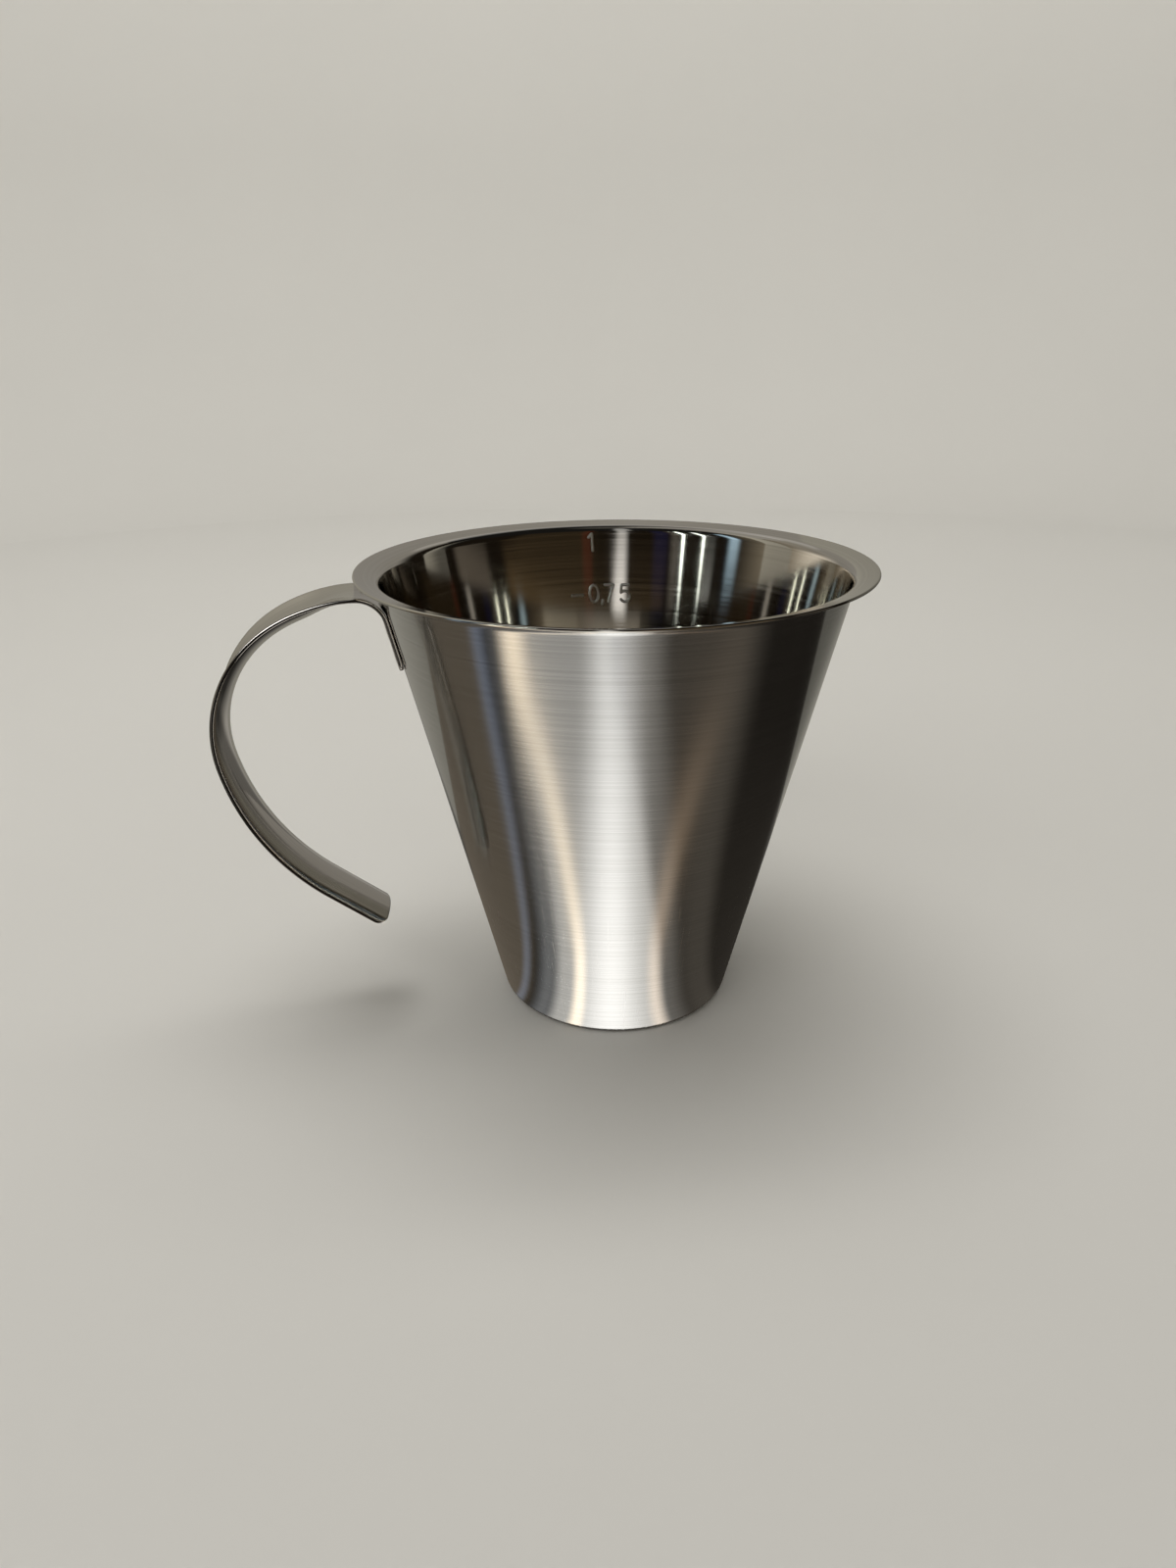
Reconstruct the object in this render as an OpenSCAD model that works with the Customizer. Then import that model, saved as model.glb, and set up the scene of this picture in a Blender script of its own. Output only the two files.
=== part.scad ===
// One-litre measuring jug of stainless steel: a conical shell drawn from one sheet, its rim turned out
// as a pouring edge, with an open handle made of one crowned strip that is spot-welded under the rim.
// The origin lies on the jug's axis, in the plane that it stands on. The handle points along -X.

/* [Jug body] */
// Height, from the table to the top of the rim
jug_h = 131; // [115:1:160]
// Outer diameter of the cone in the plane of the table
base_d = 68.8; // [60:0.4:84]
// Outer diameter of the cone at the height of the rim
mouth_d = 131; // [118:1:150]
// Thickness of the drawn sheet
sheet_t = 0.8; // [0.6:0.1:1.2]
// Outer radius of the corner between base and wall
corner_r = 3.6; // [2.4:0.2:6]
// Width of the flat ring that the jug stands on
foot_w = 5; // [3:0.5:9]
// Height of the step that lifts the middle of the base off the table
base_lift = 1; // [0.4:0.2:2]
// Radius of the two bends that make that step, at the middle of the sheet
step_r = 2; // [1.4:0.2:3]
// How far the rim reaches out past the cone
rim_w = 5.5; // [4.5:0.5:9]
// Rise of the rim towards its edge, in degrees
rim_tilt = 13; // [6:1:20]
// Radius of the hollow under the rim
rim_bend_r = 2.2; // [1.4:0.2:3]

/* [Handle] */
// Width of the strip
handle_w = 20.2; // [17:0.2:26]
// Thickness of the strip
handle_t = 1.2; // [1:0.1:1.8]
// Length of the flat tab on the wall, up to the bend
tab_len = 14; // [13:0.5:22]
// Radius of the tab's lower corners
tab_corner_r = 3; // [1.5:0.5:5]
// Depth below the top of the rim at which the strip leaves the wall
bend_drop = 11.3; // [10.5:0.1:20]
// Inner radius of the bend away from the wall
bend_r = 7.7; // [5:0.1:8.5]
// Rise of the strip as it leaves that bend, in degrees
rise_angle = 1; // [0:0.5:4]
// Radius of the upper curve
top_r = 43.4; // [36:0.2:50]
// Turn of the upper curve, in degrees
top_angle = 31; // [25:0.5:37]
// Radius of the back, where the palm lies
back_r = 36.6; // [31:0.2:42]
// Turn of the back, in degrees
back_angle = 71.7; // [64:0.1:78]
// Radius of the lower curve
lower_r = 69.8; // [60:0.2:80]
// Turn of the lower curve, in degrees
lower_angle = 40.1; // [34:0.1:46]
// Length of the straight end
tip_len = 18.6; // [12:0.2:26]
// Radius of the corners at the free end
tip_corner_r = 3.5; // [2:0.5:8]
// Depth of the crown across the strip
crown_h = 3.2; // [1.5:0.1:4]
// Length past the bend over which the crown grows to its full depth
crown_run = 16; // [8:1:22]

/* [Spot welds] */
// Diameter of a weld nugget
weld_d = 4.5; // [3:0.5:5]
// Distance between nuggets across the tab
weld_across = 10; // [8:0.5:12]
// Distance between nuggets along the tab
weld_along = 7; // [6:0.5:8]
// Gap between the tab and the wall, which the nuggets bridge
weld_gap = 0.1; // [0.05:0.05:0.2]

/* [Hidden] */
$fn = 96;

// Largest turn between two points of an arc in the jug's profile, in degrees
profile_angle = 6;
// Largest turn between two sections of the handle, in degrees
sweep_angle = 5;
// Steps across the crowned faces, round each edge and round each corner of the strip
face_n = 10;
edge_n = 4;
corner_n = 5;
// Turns of a rounded corner at its sections, from the strip's very end to its full width
corner_turns = [for (i = [0:corner_n]) 90 * i / corner_n];
// Share of the thickness that stays flat at the strip's two cut ends
end_flat = 0.3;

// Slope of the wall against the jug's axis
wall_angle = atan((mouth_d - base_d) / 2 / jug_h);
// Middle of the base corner, and of the rim's rounded edge
corner_c = [base_d / 2 + corner_r * tan(wall_angle) - corner_r / cos(wall_angle), corner_r];
lip_c = [mouth_d / 2 + rim_w - sheet_t / 2, jug_h - sheet_t / 2];
// Turn of each of the two bends of the base step, and their middles
step_angle = acos(1 - base_lift / (2 * step_r));
foot_c = [corner_c.x - foot_w, sheet_t / 2 + step_r];
lift_c = foot_c + 2 * step_r * unit(-90 - step_angle);
// Middle of the bend under the rim, which touches the wall's outside and the rim's underside
wall_n = unit(-wall_angle);
rim_n = unit(90 + rim_tilt);
wall_off = base_d / 2 * cos(wall_angle) + rim_bend_r;
rim_off = lip_c * rim_n - sheet_t / 2 - rim_bend_r;
rim_c = [wall_off * rim_n.y - rim_off * wall_n.y, rim_off * wall_n.x - wall_off * rim_n.x]
    / (wall_n.x * rim_n.y - wall_n.y * rim_n.x);

// Start of the handle's bend on the wall, and the tab's crown, which follows the wall there
bend_z = jug_h - bend_drop;
tab_r = wall_r(bend_z) / cos(wall_angle) + weld_gap + handle_t / 2;
tab_crown = tab_r - sqrt(tab_r * tab_r - handle_w * handle_w / 4);
tab_head = 90 - wall_angle;
bend_p = [wall_r(bend_z) + (weld_gap + handle_t / 2 - tab_crown) / cos(wall_angle), bend_z];
// Ends of the handle's curves, with the strip's heading there
bend_path_r = bend_r + handle_t / 2;
top_p = turned(bend_p, tab_head, bend_path_r, rise_angle);
back_head = rise_angle - top_angle;
back_p = turned(top_p, rise_angle, top_r, back_head);
lower_head = back_head - back_angle;
lower_p = turned(back_p, back_head, back_r, lower_head);
tip_head = lower_head - lower_angle;
tip_p = turned(lower_p, lower_head, lower_r, tip_head);
// Length of the bend, and of the strip from there to the end of each curve
bend_len = arc_len(bend_path_r, tab_head - rise_angle);
back_run = arc_len(top_r, top_angle);
lower_run = back_run + arc_len(back_r, back_angle);
tip_run = lower_run + arc_len(lower_r, lower_angle);

// Direction at an angle, and the direction to the left of a heading
function unit(a) = [cos(a), sin(a)];
function left(a) = [-sin(a), cos(a)];
// Outer radius of the wall at a height
function wall_r(z) = base_d / 2 + z * tan(wall_angle);
// Points of an arc about c, from angle a to angle b
function arc(c, r, a, b) =
    let (n = ceil(abs(b - a) / profile_angle))
    [for (i = [0:n]) c + r * unit(a + (b - a) * i / n)];
function arc_len(r, a) = r * a * PI / 180;
// Where a curve to the right ends that starts at p, and turns from heading a to heading b
function turned(p, a, r, b) = p + r * (left(b) - left(a));
// Ramp from 0 to 1 that starts and ends level
function eased(x) = let (u = min(max(x, 0), 1)) u * u * (3 - 2 * u);
// Crown of the strip at a length past the bend
function crown(run) = tab_crown + (crown_h - tab_crown) * eased(run / crown_run);

// Half section of the shell, in one line from the axis out along the underside, up the outside,
// round the rim's edge and back down the inside
function shell_profile() = concat(
    [[0, base_lift]],
    arc(lift_c, step_r - sheet_t / 2, 90, 90 - step_angle),
    arc(foot_c, step_r + sheet_t / 2, -90 - step_angle, -90),
    arc(corner_c, corner_r, -90, -wall_angle),
    arc(rim_c, rim_bend_r, 180 - wall_angle, 90 + rim_tilt),
    arc(lip_c, sheet_t / 2, rim_tilt - 90, rim_tilt + 90),
    arc(rim_c, rim_bend_r + sheet_t, 90 + rim_tilt, 180 - wall_angle),
    arc(corner_c, corner_r - sheet_t, -wall_angle, -90),
    arc(foot_c, step_r - sheet_t / 2, -90, -90 - step_angle),
    arc(lift_c, step_r + sheet_t / 2, 90 - step_angle, 90),
    [[0, base_lift + sheet_t]]
);

// A station is [place, heading, half width, crown, thickness] of one section of the strip.
// Stations along a curve, without its first point
function curve_stations(p, a, r, b, run) =
    let (n = ceil((a - b) / sweep_angle))
    [for (i = [1:n]) let (h = a + (b - a) * i / n)
        [turned(p, a, r, h), h, handle_w / 2, crown(run + arc_len(r, a - h)), handle_t]];
// Station at a cut end, where the corner of radius r has turned by an angle
function end_station(p, h, r, a, way, c) =
    let (x = r * (1 - cos(a)), edge = 1 - min(2 * x / handle_t, 1))
    [p + way * x * unit(h), h, handle_w / 2 - r * (1 - sin(a)), c,
        handle_t * max(end_flat, sqrt(1 - edge * edge))];
function stations() =
    let (tab_end = bend_p - tab_len * unit(tab_head), tip_end = tip_p + tip_len * unit(tip_head))
    concat(
        [for (a = corner_turns) end_station(tab_end, tab_head, tab_corner_r, a, 1, tab_crown)],
        [[bend_p, tab_head, handle_w / 2, tab_crown, handle_t]],
        curve_stations(bend_p, tab_head, bend_path_r, rise_angle, -bend_len),
        curve_stations(top_p, rise_angle, top_r, back_head, 0),
        curve_stations(back_p, back_head, back_r, lower_head, back_run),
        curve_stations(lower_p, lower_head, lower_r, tip_head, lower_run),
        [for (i = [corner_n:-1:0])
            end_station(tip_end, tip_head, tip_corner_r, corner_turns[i], -1, crown(tip_run))]
    );

// Closed section of the strip, as [across, towards the wall's side]: two faces about one middle, round edges
function section(half_w, c, t) =
    let (
        r = handle_w * handle_w / 8 / c + c / 2,
        middle = [0, r - c],
        half_angle = asin((half_w - t / 2) / r),
        face = [for (i = [0:face_n]) -90 - half_angle + 2 * half_angle * i / face_n],
        edge = [for (i = [1:edge_n - 1]) 180 * i / edge_n]
    )
    concat(
        [for (a = face) middle + (r - t / 2) * unit(a)],
        [for (e = edge) middle + r * unit(half_angle - 90) + t / 2 * unit(half_angle + 90 - e)],
        [for (i = [face_n:-1:0]) middle + (r + t / 2) * unit(face[i])],
        [for (e = edge) middle + r * unit(-90 - half_angle) + t / 2 * unit(-90 - half_angle - e)]
    );
// Section at a station, set in the jug's frame
function ring(s) =
    [for (q = section(s[2], s[3], s[4])) let (p = s[0] + q.y * left(s[1])) [-p.x, q.x, p.y]];

// The crowned strip, swept from the tab's lower end to the free end
module strip() {
    rings = [for (s = stations()) ring(s)];
    n = len(rings[0]);
    last = len(rings) - 1;
    sides = [for (i = [0:last - 1], j = [0:n - 1])
        let (a = i * n + j, b = i * n + (j + 1) % n)
        each [[a, b + n, b], [a, a + n, b + n]]];
    ends = [[for (j = [0:n - 1]) j], [for (j = [n - 1:-1:0]) last * n + j]];
    polyhedron([for (r = rings) each r], concat(sides, ends));
}

// Puts its children at each weld, on the wall's outside with +Z along the wall's outward normal
module at_welds() {
    for (row = [-1, 1], side = [-1, 1]) {
        z = bend_z - (tab_len - row * weld_along) / 2 * cos(wall_angle);
        rotate([0, 0, 180 + side * asin(weld_across / 2 / wall_r(z))])
            translate([wall_r(z), 0, z])
                rotate([0, 90 + wall_angle, 0])
                    children();
    }
}

// One nugget, from the middle of the wall's sheet to the middle of the tab
module nugget() {
    translate([0, 0, -sheet_t / 2])
        cylinder(d = weld_d, h = sheet_t / 2 + weld_gap + handle_t / 2);
}

module jug_body() {
    color("silver")
        difference() {
            rotate_extrude()
                polygon(shell_profile());
            at_welds()
                nugget();
        }
}

module handle() {
    color("gainsboro")
        difference() {
            strip();
            at_welds()
                nugget();
        }
}

module spot_welds() {
    color("darkgray")
        at_welds()
            nugget();
}

jug_body();
handle();
spot_welds();
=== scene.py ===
"""Looks of a one-litre stainless steel measuring jug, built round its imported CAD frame.

The jug is a conical shell drawn from one sheet, with a turned-out rim, an open handle formed from one
crowned strip, the electrode marks of its four spot welds, and a scale pressed into the inside of the wall.
Lengths are in metres and angles in radians where nothing else is said, in the frame of the CAD model: the
origin lies on the jug's axis on the table, +Z is up and the handle points along -X.
"""

import logging
import math
from collections.abc import Callable
from dataclasses import dataclass, field
from enum import Enum
from functools import partial

import bmesh
import bpy
from bpy.types import Material, Mesh, Node, NodeSocket, NodeTree, Object
from mathutils import Matrix, Vector


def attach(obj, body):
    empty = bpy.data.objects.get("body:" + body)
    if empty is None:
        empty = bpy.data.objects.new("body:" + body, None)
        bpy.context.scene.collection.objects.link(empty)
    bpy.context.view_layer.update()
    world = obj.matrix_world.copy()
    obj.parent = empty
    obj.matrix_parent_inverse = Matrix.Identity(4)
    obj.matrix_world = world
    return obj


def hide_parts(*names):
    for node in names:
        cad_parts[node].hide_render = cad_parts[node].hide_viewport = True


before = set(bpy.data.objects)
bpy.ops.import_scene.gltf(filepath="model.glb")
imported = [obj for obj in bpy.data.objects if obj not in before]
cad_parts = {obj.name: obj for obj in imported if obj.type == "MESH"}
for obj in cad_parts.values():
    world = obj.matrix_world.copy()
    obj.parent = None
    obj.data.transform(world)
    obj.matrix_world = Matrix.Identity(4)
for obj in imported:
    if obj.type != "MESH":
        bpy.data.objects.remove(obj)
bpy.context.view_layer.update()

log = logging.getLogger("measuring_jug")

MM = 0.001
# Less than this counts as nothing.
TINY = 1e-9
UV_NAME = "surface"
# Node types that are used often. Inputs 1 to 4 of a RANGE are the ends of its scale and the results there.
MATH, VECTOR, RANGE = "ShaderNodeMath", "ShaderNodeVectorMath", "ShaderNodeMapRange"
SPLIT, JOIN, MIX = "ShaderNodeSeparateXYZ", "ShaderNodeCombineXYZ", "ShaderNodeMix"
NOISE, BUMP = "ShaderNodeTexNoise", "ShaderNodeBump"
# What can be linked to an input, and the function that adds a node to one tree.
Wire = Node | NodeSocket
Adder = Callable[..., Node]
Pair = tuple[float, float]


def linear(colour: str) -> tuple[float, float, float, float]:
    """Turns an sRGB colour into linear light.

    Args:
        colour: Hex value such as "#c8c4bc".

    Returns:
        Linear red, green and blue, with an alpha of 1.
    """
    parts = [int(colour[i:i + 2], 16) / 255 for i in (1, 3, 5)]
    curve = [c / 12.92 if c <= 0.04045 else ((c + 0.055) / 1.055) ** 2.4 for c in parts]
    return (curve[0], curve[1], curve[2], 1.0)


def add_node(tree: NodeTree, kind: str, wires: dict | None = None, **settings: object) -> Node:
    """Adds one node to a tree, with its settings, its values and its links.

    Args:
        tree: Shader or geometry tree.
        kind: Blender's name of the node type.
        wires: For each input, by name or number, a value to set, an output to link, or a node whose first
            output is linked.
        settings: Properties of the node itself.

    Returns:
        The new node.
    """
    node = tree.nodes.new(kind)
    for name, value in settings.items():
        setattr(node, name, value)
    for key, value in (wires or {}).items():
        source = value.outputs[0] if isinstance(value, Node) else value
        if isinstance(source, NodeSocket):
            tree.links.new(source, node.inputs[key])
        else:
            node.inputs[key].default_value = source
    return node


def new_material(name: str) -> tuple[Material, Adder, NodeSocket]:
    """Starts a node material.

    Args:
        name: Name of the material.

    Returns:
        The material, the function that adds a node to it, and its Object coordinates.
    """
    material = bpy.data.materials.new(name)
    material.use_nodes = True
    material.node_tree.nodes.clear()
    add = partial(add_node, material.node_tree)
    return material, add, add("ShaderNodeTexCoord").outputs["Object"]


def place(name: str, data: bpy.types.ID) -> Object:
    """Links a mesh, a lamp or a camera into the scene as an object at the origin.

    Args:
        name: Name of the object.
        data: What it shows; a mesh is already in place.

    Returns:
        The new object.
    """
    piece = bpy.data.objects.new(name, data)
    bpy.context.scene.collection.objects.link(piece)
    return piece


def form(name: str, blank: Mesh, tree: NodeTree, sizes: dict[str, object]) -> Object:
    """Runs a Geometry Nodes tree on a blank and keeps the result as a plain mesh.

    Args:
        name: Name of the finished piece.
        blank: Mesh that the tree starts from.
        tree: The tree, with named inputs.
        sizes: Value of each named input.

    Returns:
        The finished piece, at the origin and with no modifier.
    """
    helper = place(name + "_blank", blank)
    modifier = helper.modifiers.new("form", "NODES")
    modifier.node_group = tree
    for item in tree.interface.items_tree:
        if item.in_out == "INPUT" and item.name in sizes:
            modifier[item.identifier] = sizes[item.name]
    graph = bpy.context.evaluated_depsgraph_get()
    mesh = bpy.data.meshes.new_from_object(helper.evaluated_get(graph))
    helper.modifiers.remove(modifier)
    bpy.data.objects.remove(helper)
    bpy.data.meshes.remove(blank)
    mesh.name = name
    mesh.shade_smooth()
    return place(name, mesh)


def new_tree(name: str, sizes: tuple[str, ...], guide: str = "") -> tuple[NodeTree, Adder, dict[str, Wire]]:
    """Starts a Geometry Nodes tree with named inputs for its sizes and its finish.

    Args:
        name: Name of the tree.
        sizes: Names of the sizes.
        guide: Name of the input for an object that the piece follows, if there is one.

    Returns:
        The tree, the function that adds a node to it, and its inputs by name.
    """
    tree = bpy.data.node_groups.new(name, "GeometryNodeTree")
    kinds = {"Geometry": "NodeSocketGeometry", "Finish": "NodeSocketMaterial"}
    kinds |= dict.fromkeys(sizes, "NodeSocketFloat")
    if guide:
        kinds[guide] = "NodeSocketObject"
    for label, kind in kinds.items():
        tree.interface.new_socket(label, in_out="INPUT", socket_type=kind)
    tree.interface.new_socket("Geometry", in_out="OUTPUT", socket_type="NodeSocketGeometry")
    add = partial(add_node, tree)
    given = add("NodeGroupInput")
    return tree, add, {label: given.outputs[label] for label in kinds}


def close_tree(add: Adder, shape: Wire, finish: Wire) -> None:
    """Ends a Geometry Nodes tree in plain geometry of one finish.

    Args:
        add: Function that adds a node to the tree.
        shape: The finished geometry.
        finish: Its material.
    """
    whole = add("GeometryNodeRealizeInstances", {0: shape})
    dressed = add("GeometryNodeSetMaterial", {0: whole, "Material": finish})
    add("NodeGroupOutput", {0: dressed})


def unit(angle: float) -> Vector:
    """Direction at an angle in a plane."""
    return Vector((math.cos(angle), math.sin(angle)))


def left(angle: float) -> Vector:
    """Direction to the left of a heading in a plane."""
    return Vector((-math.sin(angle), math.cos(angle)))


def arc(centre: Vector, radius: float, start: float, end: float,
        step: float = math.radians(5)) -> list[Vector]:
    """Points of an arc, both ends included.

    Args:
        centre: Its middle.
        radius: Its radius.
        start: Angle of the first point.
        end: Angle of the last point.
        step: Largest turn between two points.

    Returns:
        The points, in order.
    """
    count = max(1, math.ceil(abs(end - start) / step - TINY))
    return [centre + radius * unit(start + (end - start) * i / count) for i in range(count + 1)]


def between(a: Vector, b: Vector, rows: int) -> list[Vector]:
    """Points of a straight line without its ends, closer together near them.

    Args:
        a: Start of the line.
        b: End of the line.
        rows: Number of pieces that the line is cut into.

    Returns:
        The points, in order.
    """
    return [a.lerp(b, 0.5 - 0.5 * math.cos(math.pi * i / rows)) for i in range(1, rows)]


class Grain(Enum):
    """Way in which a surface was brushed or polished."""

    ROUND = "round the axis"
    ALONG = "along the strip"
    NONE = "no direction"


# Values of noise between which it makes the grain, and between which it makes a scuff.
GRAIN_NOISE, SCUFF_NOISE = (0.3, 0.7), (0.66, 0.74)
# Width and length of a scuff, the heights at which scuffs begin and are strongest, and how they look. The
# scuffs are real wear that roughens the steel; their lighter colour is a painted glint, standing in for the
# light that a scratch across the grain catches.
SCUFF_MM, SCUFF_Z = (0.6, 15.0), (70 * MM, 10 * MM)
SCUFF_GLINT_COLOUR, SCUFF_ROUGHNESS = "#f4f2ee", 0.3
# Spacing of the low dents that forming leaves in sheet, and the jug's mean radius.
DENT_MM, MEAN_R = 24.0, 50 * MM
# The clear coat stands for the mirror-like look of brushed steel at shallow angles.
COAT_ROUGHNESS, COAT_IOR = 0.03, 1.7
# Turns the streaks of brushed steel upright, in turns.
UPRIGHT = 0.25


@dataclass(frozen=True)
class SteelFinish:
    """A stainless steel surface and the way that it was worked.

    The grain's spacing and length are in millimetres. Real brush lines are 0.05 to 0.2 mm apart, too fine
    for the render, so they are drawn several times coarser, as they need to be to show. The relief is the
    depth of the grain, the wave that of the dents, and the gloss the share of the clear coat.
    """

    name: str
    colour: str
    shade: str
    roughness: float
    spread: float
    anisotropy: float
    grain: Grain
    spacing_mm: float
    length_mm: float
    relief_mm: float
    scuffs_and_glints: float = 0.0
    wave_mm: float = 0.0
    gloss: float = 0.0

    def material(self) -> Material:
        """Builds the finish as a node material.

        Returns:
            The material.
        """
        steel, add, spot = new_material(self.name)
        across, along = self.lay(add, spot)
        lines = self.noise(add, across, along, (self.spacing_mm, self.length_mm), 2.0)
        grain = add(RANGE, {"Value": lines, 1: GRAIN_NOISE[0], 2: GRAIN_NOISE[1]})
        tint = add(MIX, {0: grain, 6: linear(self.shade), 7: linear(self.colour)},
                   data_type="RGBA").outputs[2]
        smooth, coarse = self.roughness - self.spread, self.roughness + self.spread
        rough = add(RANGE, {"Value": grain, 3: smooth, 4: coarse})
        # Scuffs towards the base: real wear in the roughness, and a painted glint in the lighter colour.
        if self.scuffs_and_glints:
            scuff_and_glint_noise = self.noise(add, along, across, SCUFF_MM, 1.0)
            height = add(SPLIT, {0: spot}).outputs["Z"]
            near_base = add(RANGE, {"Value": height, 1: SCUFF_Z[0], 2: SCUFF_Z[1]})
            marks = add(RANGE, {"Value": scuff_and_glint_noise, 1: SCUFF_NOISE[0], 2: SCUFF_NOISE[1]})
            marks = add(MATH, {0: marks, 1: near_base}, operation="MULTIPLY")
            marks = add(MATH, {0: marks, 1: self.scuffs_and_glints}, operation="MULTIPLY")
            # Painted glint: the lighter colour of a scuff stands in for the light that a scratch across the
            # grain catches.
            tint = add(MIX, {0: marks, 6: tint, 7: linear(SCUFF_GLINT_COLOUR)}, data_type="RGBA").outputs[2]
            rough = add(MATH, {0: marks, 1: SCUFF_ROUGHNESS, 2: rough}, operation="MULTIPLY_ADD")
        relief = add(BUMP, {"Strength": 1.0, "Distance": self.relief_mm * MM, "Height": grain})
        if self.wave_mm:
            dents = add(NOISE, {"Vector": spot, "Scale": 1 / (DENT_MM * MM), "Detail": 1.0})
            relief = add(BUMP, {"Strength": 1.0, "Distance": self.wave_mm * MM, "Height": dents,
                                "Normal": relief})
        wires = {
            "Base Color": tint, "Metallic": 1.0, "Roughness": rough, "Normal": relief,
            "Anisotropic": self.anisotropy, "Coat Weight": self.gloss, "Coat Roughness": COAT_ROUGHNESS,
            "Coat IOR": COAT_IOR, "Anisotropic Rotation": UPRIGHT if self.grain is Grain.ROUND else 0.0}
        if self.anisotropy:
            wires["Tangent"] = add("ShaderNodeTangent", direction_type="UV_MAP", uv_map=UV_NAME)
        add("ShaderNodeOutputMaterial", {"Surface": add("ShaderNodeBsdfPrincipled", wires)})
        return steel

    def lay(self, add: Adder, spot: NodeSocket) -> tuple[Wire, Wire]:
        """Finds the directions across and along the grain at a point.

        Args:
            add: Function that adds a node to the material.
            spot: Object coordinates.

        Returns:
            A vector in metres that changes across the grain only, and one that changes along it only.
        """
        if self.grain is Grain.NONE:
            return spot, spot
        flat = add(SPLIT, {0: add("ShaderNodeUVMap", uv_map=UV_NAME)}).outputs
        up = add(JOIN, {2: flat[1]})
        if self.grain is Grain.ALONG:
            return add(JOIN, {0: flat[0]}), up
        level = add(VECTOR, {0: spot, 1: (1, 1, 0)}, operation="MULTIPLY")
        turn = add(VECTOR, {0: level}, operation="NORMALIZE")
        return up, add(VECTOR, {0: turn, 3: MEAN_R}, operation="SCALE")

    @staticmethod
    def noise(add: Adder, across: Wire, along: Wire, line_mm: Pair, detail: float) -> Node:
        """Adds drawn-out noise.

        Args:
            add: Function that adds a node to the material.
            across: Vector in metres across the lines.
            along: Vector in metres along the lines.
            line_mm: Width and length of a line.
            detail: Octaves of the noise.

        Returns:
            The noise, about 0.5 on average.
        """
        fine, long = (1 / (size * MM) for size in line_mm)
        thin = add(VECTOR, {0: across, 3: fine}, operation="SCALE")
        both = add(VECTOR, {0: along, 1: (long,) * 3, 2: thin}, operation="MULTIPLY_ADD")
        return add(NOISE, {"Vector": both, "Scale": 1.0, "Detail": detail})


# Stainless steel sheet, brushed on a turning mandrel: the lines run round the wall, so each light is
# drawn out into an upright streak, and the eye reads a soft satin sheen with hair-fine level lines.
OUTSIDE = SteelFinish("stainless steel, brushed round", "#cfcecb", "#c0bfbb", 0.18, 0.012, 1.0, Grain.ROUND,
                      0.35, 90.0, 0.0002, scuffs_and_glints=0.6, gloss=1.0)
# The same sheet where the rim was spun out and buffed: brighter and tighter than the wall.
RIM = SteelFinish("stainless steel, buffed rim", "#d2cec6", "#c8c4bc", 0.09, 0.02, 0.6, Grain.ROUND,
                  0.7, 80.0, 0.0008)
# The sheet's inner face, polished finer so that it rinses clean: nearly a mirror, with fine level lines.
INSIDE = SteelFinish("stainless steel, polished inside", "#cec9c0", "#c0bbb2", 0.09, 0.02, 0.9, Grain.ROUND,
                     0.8, 70.0, 0.0003, wave_mm=0.006)
# Stainless steel strip, tumbled and polished after forming: mirror-like, with faint lengthwise lines.
STRIP = SteelFinish("stainless steel, polished strip", "#d2cec8", "#c9c5be", 0.07, 0.02, 0.0, Grain.ALONG,
                    0.6, 40.0, 0.0008, wave_mm=0.01)
# Steel that was squeezed between electrodes: duller than the sheet, with a straw tint from the heat.
WELD = SteelFinish("stainless steel, electrode mark", "#968e82", "#847c70", 0.34, 0.05, 0.0, Grain.NONE,
                   0.5, 0.5, 0.004)
# Pressed figures on the polished inner face: the raised steel is burnished by use.
FIGURES = SteelFinish("stainless steel, pressed figures", "#e6e2da", "#d8d4cc", 0.34, 0.04, 0.0, Grain.NONE,
                      0.8, 0.8, 0.002)


class Zone(Enum):
    """Part of the shell with a finish of its own. The value is its material slot."""

    OUTSIDE = 0
    RIM = 1
    INSIDE = 2


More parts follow.
